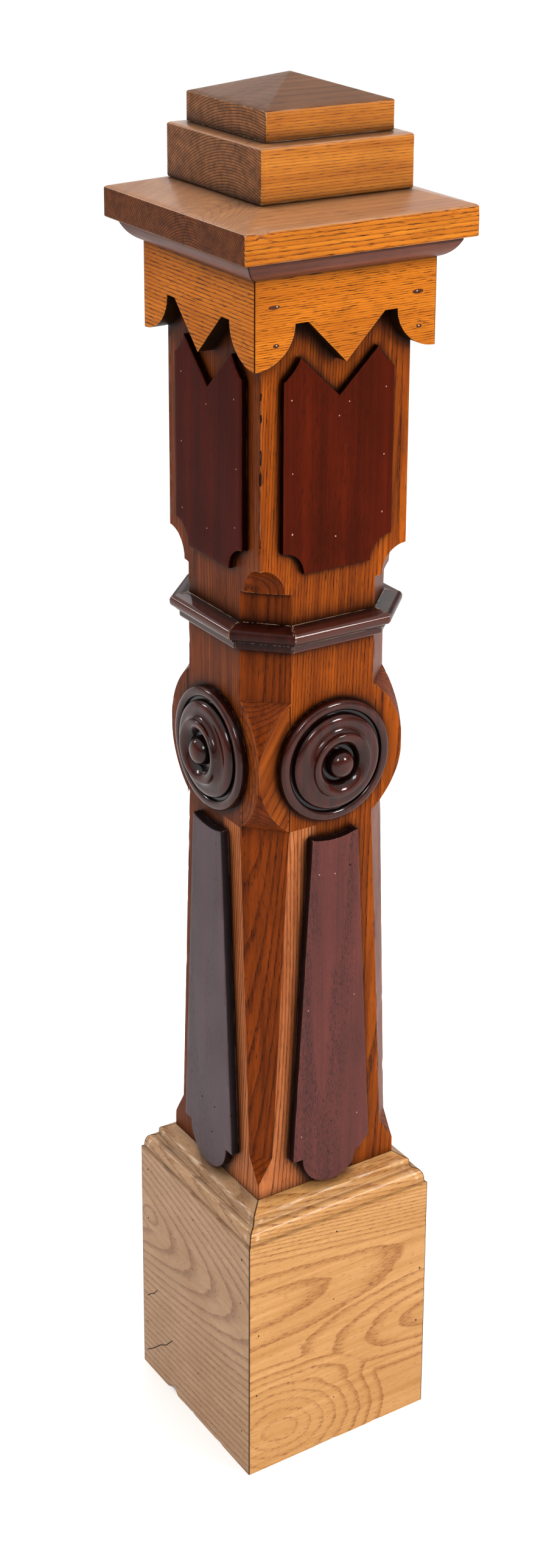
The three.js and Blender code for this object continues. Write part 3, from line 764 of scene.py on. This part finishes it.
for face, turn in FACES.items():
    seen = face == "front"
    # Pale oak, flat-sawn, under a thin satin finish: bold brown arches, open pores, and
    # cream streaks on the rolls of the moulded head, partly rubbing and partly painted highlight
    # Off the front the tones are a darker, greyer copy of the same oak: painted shade
    honey = ("bb8b56", "9f6f39", "86501f") if seen else ("a07c5a", "8c6846", "644228")
    pale = wood(f"honey_oak_{face}", *honey, turn=turn, lie="across", figure=0.5,
                pores=0.75, pore_colour="70401c", pore_stretch=0.12, blotch=0.15,
                grime_and_shade_amount=0.6, gleam=0.12, wear_and_highlight="f4e6cc", wear_and_highlight_amount=0.9, wear_and_highlight_reach=7,
                mitre=True, ripple=0.025, edge_line=0.5, fibre=0.3, coat=0.12,
                coat_rough=0.16, rub_and_highlight_above=roll_foot, **plinth_figure[face])
    board = run_of(plinth_profile(), 0, 0, 1)
    gnawed(board, depth=1.6, size=12, pick=lambda co: co.z < 1 and co.y < -plinth_face + 1)
    if face == "left":
        knocked(board, (-41, -plinth_face, 0), 8.5, (0, 1.6, 2.6))
    piece(f"oak_plinth_{face}", board, [pale], [f"plinth_board_{face}"], turn)
    # Mahogany, planed and rubbed to a satin finish: an even plum brown, short fine pores
    # and sawn edges painted black as shade. Off the front the tones are darker and bluer: painted
    # shade and a painted bluish sheen
    plum = ("5c2822", "441e1a") if seen else ("42292e", "36262e")
    purple = wood(f"lower_mahogany_{face}", *plum, "2a110e", turn=turn, spacing=9,
                  figure=0.1, pores=0.6, pore_stretch=0.25, roughness=0.34, gleam=0.15,
                  fibre=0.3, grime_and_shade="0a0304", grime_and_shade_amount=0.95, wear_and_highlight="7a5244", rim=0.96)
    piece(f"tongued_panel_{face}", flat_board(lower_outline(seen), face_plane, lower_face),
          [purple], [f"lower_panel_{face}"], turn)
    # Mahogany, turned on a lathe and French polished: a red so dark that the eye gets
    # mostly the sharp highlights of the rings
    gloss = wood(f"turned_mahogany_{face}", "401004", "280802", "100402", turn=turn,
                 spacing=7, figure=0.2, pores=0.3, roughness=0.3, gleam=0.02, coat=0.5,
                 coat_rough=0.09, grime_and_shade="060202", grime_and_shade_amount=0.95, relief=0.08,
                 wear_and_highlight="8a5a3c", wear_and_highlight_amount=0.25,
                 split=(33, -0.06, 0.3) if face == "left" else None)
    piece(f"turned_rosette_{face}", turned(rosette_profile()), [gloss],
          [f"rosette_{face}"], turn, 60)
    # Mahogany moulding, run along the grain and polished: one bright line along its nose
    profile = [(shaft_half + far, z) for far, z in sweep_profile_collar()]
    bright = wood(f"collar_mahogany_{face}", "4c2218", "361710", "1c0a07", turn=turn,
                  lie="across", figure=0.25, gleam=0.05, coat=0.38, **polished)
    piece(f"collar_length_{face}", run_of(profile, shaft_half, neck_half, octagon), [bright],
          [f"collar_{face}"], turn)
    # Mahogany, sawn to shape and varnished: deep red, hardly any figure, edges painted black as
    # shade. Off the front the tones are a darker copy: painted shade
    reds = ("4c1404", "380d03") if seen else ("430c01", "300701")
    red = wood(f"upper_mahogany_{face}", *reds, "1e0601", turn=turn, spacing=11,
               figure=0.06, pores=0.4, pore_stretch=0.1, blotch=0.35, roughness=0.33,
               gleam=0.02, fibre=0.3, grime_and_shade="060101", grime_and_shade_amount=0.98, wear_and_highlight="6a3018",
               rim=0.96)
    piece(f"pointed_panel_{face}", flat_board(upper_outline(), face_plane, upper_face), [red],
          [f"upper_panel_{face}"], turn)
    # Golden oak, rift-sawn, fretted and varnished: close dark pore lines on warm yellow,
    # with sawn edges painted nearly black as shade
    yellow = wood(f"golden_oak_{face}", "bd6c18", "a0560f", "6a300a", turn=turn, lie="across",
                  pith=(0, -20, 900), spacing=1.7 if seen else 3.0,
                  wave=0.1 if seen else 0.22, pore_width=0.6, figure=0.55 if seen else 0.75,
                  pores=0.95, pore_colour="301002", blotch=0.4, gleam=0.04, mitre=True,
                  fibre=0.32, grime_and_shade="0c0501", grime_and_shade_amount=0.95, rim=0.985)
    piece(f"scalloped_valance_{face}",
          mitred(flat_board(valance_outline(), face_plane, valance_half)), [yellow],
          [f"valance_{face}"], turn)
    # Mahogany moulding with little polish left: a dull plum brown
    dull = wood(f"moulding_mahogany_{face}", "6c3a28", "552a1c", "2c130d", turn=turn,
                lie="across", figure=0.3, gleam=0.15, wear_and_highlight_amount=0.3, mitre=True)
    piece(f"bed_ovolo_{face}", run_of(moulding_profile(), 0, 0, 1), [dull],
          [f"bed_moulding_{face}"], turn)
# The collar's corner lengths: the same mahogany with less polish, in a darker copy that is
# painted shade
shaded_collar_mahogany = wood("collar_corner_mahogany", "32100a", "220a05", "120402", figure=0.2, gleam=0.03,
            coat=0.16, **polished)
for corner, turn in CORNERS.items():
    profile = [(corner_out + far, z) for far, z in sweep_profile_collar()]
    piece(f"collar_length_{corner}",
          run_of(profile, corner_out, corner_cut / math.sqrt(2), octagon), [shaded_collar_mahogany],
          [f"collar_{corner}"], turn)

cap_wood = {"lie": "across", "pith": (0, -30, 1050), "spacing": 2.2, "wave": 0.12,
            "pore_width": 0.65, "pore_colour": "3a1808", "roughness": 0.34,
            "wear_and_highlight": "e4d4b8", "wear_and_highlight_amount": 0.8, "fibre": 0.3}
# Oak slab, varnished: bold pores along its front, and end grain that drank the stain dark
slab = wood("cap_oak", "bc721e", "985012", "5e2a0a", figure=0.55, pores=0.95, gleam=0.04,
            blotch=0.3, end_grain=("6c3816", "401c08", "200b03"), **cap_wood)
# Oak blocks, varnished: browner and closer in the grain, with ringed end grain
stepped = wood("block_oak", "b47026", "8c4c14", "50200a", figure=0.38, pores=0.7, gleam=0.07,
               blotch=0.35, end_grain=("8a5632", "502e14", "281406"), **cap_wood)
# The seats on top: a greyish tan, painted sheen on the oak
slab_top = wood("slab_top_oak", "a06e44", "865838", "60402a", figure=0.15, pores=0.4,
                gleam=0.35, **cap_wood)
# The pyramid top, darker than the block's sides: a dull umber with a faint figure
finial_top = wood("finial_top_oak", "6c4426", "54331c", "341e10", figure=0.25, pores=0.6,
                  gleam=0.1, **cap_wood)
slab_edge = slab_foot + slab_edge_height
slab_shape = block(slab_half, slab_foot, slab_edge, slab_head, middle_half, 1.4)
knocked(slab_shape, (-92.4, -slab_half, slab_edge), 6, (0, 1.6, -1.6))
piece("oak_cap_slab", slab_shape, [slab, slab_top], ["cap_slab"])
piece("oak_middle_block",
      block(middle_half, middle_foot, middle_foot + middle_edge_height, middle_head,
            finial_half, 1.6), [stepped, slab_top], ["middle_cap_block"])
piece("oak_finial_block",
      block(finial_half, finial_foot, finial_foot + finial_edge_height, finial_head, 1, 1.4),
      [stepped, finial_top], ["finial_block"])


# Marks of use: nails, filler and holes in a face, and dark joint lines


def spots(name, face, plane, material, places, lift=0.12):
    """Round marks on a face: place across, height, and size across and up."""
    mesh = bmesh.new()
    depth = 0.6
    for x, z, wide, tall in places:
        made = bmesh.ops.create_cone(mesh, cap_ends=True, segments=14, radius1=0.5,
                                     radius2=0.38, depth=depth)["verts"]
        bmesh.ops.scale(mesh, verts=made, vec=(wide, tall, 1))
        bmesh.ops.rotate(mesh, verts=made, matrix=Matrix.Rotation(QUARTER, 3, "X"))
        bmesh.ops.translate(mesh, verts=made, vec=(x, depth / 2 - plane - lift, z))
    piece(name, mesh, [material], turn=FACES[face])


def lines(name, face, plane, material, runs, lift=0.1):
    """Dark joint and crack lines on a face: each a width and the points it goes through."""
    mesh = bmesh.new()
    depth = 0.4
    for width, points in runs:
        for (x0, z0), (x1, z1) in zip(points, points[1:]):
            made = bmesh.ops.create_cube(mesh, size=1)["verts"]
            length = math.hypot(x1 - x0, z1 - z0)
            bmesh.ops.scale(mesh, verts=made, vec=(length + width / 2, depth, width))
            bmesh.ops.rotate(mesh, verts=made,
                             matrix=Matrix.Rotation(-math.atan2(z1 - z0, x1 - x0), 3, "Y"))
            bmesh.ops.translate(mesh, verts=made,
                                vec=((x0 + x1) / 2, depth / 2 - plane - lift, (z0 + z1) / 2))
    piece(name, mesh, [material], turn=FACES[face])


# Iron nail heads, rubbed bright: small pale grey points
nail = speck("nail_head_iron", "c0b49c", 0.35, 0.6)
# Filler over sunk nails, dried matt: pinkish dots on the dark panels
filler = speck("pink_filler", "b07c6c", 0.6)
# Dirt in an open nail hole: a matt dark dot
hole = speck("nail_hole_dirt", "150803", 0.8)
# Iron stain that has spread along the grain round a nail: a brown-black oval
stain = speck("iron_stain", "4a2008", 0.55)
# Dirt in a joint or a crack: a thin matt dark line
seam = speck("joint_line_dirt", "160903", 0.7)

spots("iron_stains_front", "front", valance_half, stain,
      [(-66.9, 1056.9, 13, 4), (-65, 1026.6, 7, 4), (66.4, 1053.2, 13, 4.6),
       (68.2, 1025, 6.5, 3.6)])
spots("nail_heads_front", "front", valance_half, nail,
      [(-64.5, 1057.3, 1.8, 1.6), (-64.8, 1027, 1.8, 1.6), (65.4, 1053.7, 2, 1.7),
       (67.9, 1025.4, 1.8, 1.5)], 0.24)
spots("filler_upper_front", "front", upper_face, filler,
      [(-44.9, 978.6, 1.7, 1.7), (9, 970.1, 1.5, 1.5), (43.9, 977.1, 1.6, 1.6),
       (-0.4, 959.8, 1.5, 1.5), (-43.6, 918.9, 1.6, 1.6), (43, 921.3, 1.6, 1.6),
       (42.1, 872.9, 1.9, 1.9), (-43.5, 868.7, 1.9, 2.3), (-2.5, 860.1, 1.8, 1.8)])
spots("filler_upper_left", "left", upper_face, filler,
      [(-40.8, 979.2, 1.5, 1.5), (-1.8, 961.5, 1.4, 1.4), (40.4, 975.5, 1.5, 1.5),
       (-41.1, 920.8, 1.5, 1.5), (43.7, 919.4, 1.5, 1.5), (-40.6, 863.9, 1.6, 1.6),
       (-1.4, 857.3, 1.5, 1.5), (41.7, 870.3, 1.5, 1.5)])
spots("filler_lower_front", "front", lower_face, filler,
      [(-15.9, 564.4, 1.8, 1.8), (-0.1, 561.3, 1.8, 1.8), (21.4, 440.4, 1.5, 1.5),
       (-25.6, 438.7, 1.7, 1.9), (26.2, 321.7, 1.6, 1.6), (-31.2, 316.7, 1.6, 1.6)])
spots("holes_lower_front", "front", lower_face, hole,
      [(14.9, 565.3, 2, 2.4), (-0.7, 322.5, 1.6, 1.6), (-3.6, 293.2, 1.5, 1.5)])
spots("holes_lower_left", "left", lower_face, hole,
      [(-10, 326.2, 2, 2), (11.2, 326.5, 2, 2.2), (6.8, 299.5, 1.8, 1.8),
       (38.3, 332.2, 1.8, 2.4)])
spots("holes_plinth_front", "front", plinth_face, hole,
      [(-3.6, 219.8, 2.2, 1.8), (87.7, 146.6, 2, 2.4), (-5.8, 150.3, 1.4, 1.4),
       (85.2, 91.2, 2, 2.2), (-53.3, 81.5, 1.6, 1.5), (-86.1, 81.6, 1.8, 2.2),
       (-4.3, 45.1, 1.5, 1.5), (-84.2, 143.6, 1.8, 2)])
spots("holes_plinth_left", "left", plinth_face, hole,
      [(-81.9, 216.1, 2.2, 2.4), (-82.4, 163.6, 2, 2), (-1.2, 209.2, 1.7, 1.7),
       (81.4, 217.8, 2.4, 2.2), (-86.2, 47.9, 2, 2), (6.4, 50.2, 1.6, 1.6),
       (79.4, 172.2, 1.8, 1.8), (81.4, 39.1, 1.8, 1.8)])
lines("scars_plinth_left", "left", plinth_face, seam,
      [(0.7, [(-85.4, 77.1), (-79, 83), (-74, 86), (-67.5, 93.5)]),
       (0.8, [(-87, 15.7), (-76, 24), (-63, 36), (-52, 43), (-40.1, 55.5)])])
lines("joint_lines_front", "front", shaft_half, seam,
      [(0.7, [(-41, 606), (-41.2, 650), (-40.8, 690), (-41, 719)]),
       (0.8, [(-69.5, 986), (-69.8, 981)]),
       (1.3, [(-69.6, 969), (-69.4, 966), (-69.8, 963.5)]),
       (0.9, [(-69.7, 940.5), (-69.4, 935), (-69.8, 929)]),
       (0.7, [(-69.6, 921), (-69.8, 912)])])
lines("joint_lines_left", "left", shaft_half, seam,
      [(0.6, [(44.9, 600), (44.7, 650), (45, 716)]),
       (0.6, [(-43.8, 606), (-43.6, 660), (-43.8, 718)])])

# Stage: a pale floor, soft lights and the camera

camera_azimuth = math.radians(-33.4202)
camera_rise = math.radians(18.9193)
camera_roll = 0.0101
camera_place = Vector((-1019.48, -1583.69, 1496.69)) * MM
frame_size = (907, 2576)
optical_centre = (513.904, 854.514)
focal_pixels = 3972.765

sensor = 36
lens = bpy.data.cameras.new("camera")
lens.sensor_width = sensor
lens.lens = focal_pixels * sensor / frame_size[1]
lens.shift_x = (frame_size[0] / 2 - optical_centre[0]) / frame_size[1]
lens.shift_y = (optical_centre[1] - frame_size[1] / 2) / frame_size[1]
across = Vector((math.cos(camera_azimuth), math.sin(camera_azimuth), 0))
behind = Vector((math.sin(camera_azimuth) * math.cos(camera_rise),
                 -math.cos(camera_azimuth) * math.cos(camera_rise), math.sin(camera_rise)))
upward = behind.cross(across)
c, s = math.cos(camera_roll), math.sin(camera_roll)
camera = placed("camera", lens)
camera.matrix_world = Matrix.LocRotScale(
    camera_place, Matrix((across * c + upward * s, upward * c - across * s, behind)).transposed(),
    None)
bpy.context.scene.camera = camera


def softbox(name, place, aim, size, power):
    """A soft rectangular lamp. Places and sizes are metres, and its power is in watts."""
    lamp = bpy.data.lights.new(name, "AREA")
    lamp.shape = "RECTANGLE"
    lamp.size, lamp.size_y = size
    lamp.energy = power
    made = placed(name, lamp)
    made.location = place
    made.rotation_euler = (Vector(aim) - Vector(place)).to_track_quat("-Z", "Y").to_euler()


softbox("key", place=(1.9, -3.4, 2.2), aim=(0, 0, 0.7), size=(0.7, 1.0), power=112)
softbox("high_window", place=(-1.3, -2.2, 2.7), aim=(0, 0, 0.8), size=(0.75, 0.85), power=48)
softbox("back_window", place=(-1.6, 2.4, 2.2), aim=(0, 0, 0.9), size=(0.4, 0.8), power=24)
softbox("back_sheen", place=(1.7, 2.5, 2.1), aim=(0, 0, 1.2), size=(1.6, 1.0), power=8)

floor_half = 12     # metres
floor_mesh = bmesh.new()
bmesh.ops.create_grid(floor_mesh, x_segments=1, y_segments=1, size=floor_half)
floor_data = bpy.data.meshes.new("floor")
floor_mesh.to_mesh(floor_data)
floor_mesh.free()
floor = placed("floor", floor_data)
# Painted floor, matt: an even near-white that takes a soft shadow
floor_paint = bpy.data.materials.new("floor_paint")
floor_paint.use_nodes = True
paint = floor_paint.node_tree.nodes["Principled BSDF"].inputs
paint["Base Color"].default_value = (0.85, 0.85, 0.84, 1)
paint["Roughness"].default_value = 0.8
floor_data.materials.append(floor_paint)
# A ceiling of soft light, bright overhead, and a low pale wall round the floor
world = bpy.data.worlds.new("studio")
world.use_nodes = True
sky = world.node_tree
direction = node(sky, "TexCoord").outputs["Generated"]
height = node(sky, "SeparateXYZ", {0: direction}).outputs[2]
glow = node(sky, "MapRange", {0: height, 1: 0.2, 2: 0.8, 3: 0.25, 4: 1.6}).outputs[0]
haze = node(sky, "MapRange", {0: height, 1: 0.06, 2: 0.14, 3: 1.0, 4: 0.0}).outputs[0]
glow = node(sky, "Math", {0: glow, 1: haze}, operation="MAXIMUM").outputs[0]
sky.links.new(glow, sky.nodes["Background"].inputs["Strength"])
sky.nodes["Background"].inputs["Color"].default_value = (1, 1, 1, 1)
bpy.context.scene.world = world
bpy.context.scene.view_settings.view_transform = "Standard"
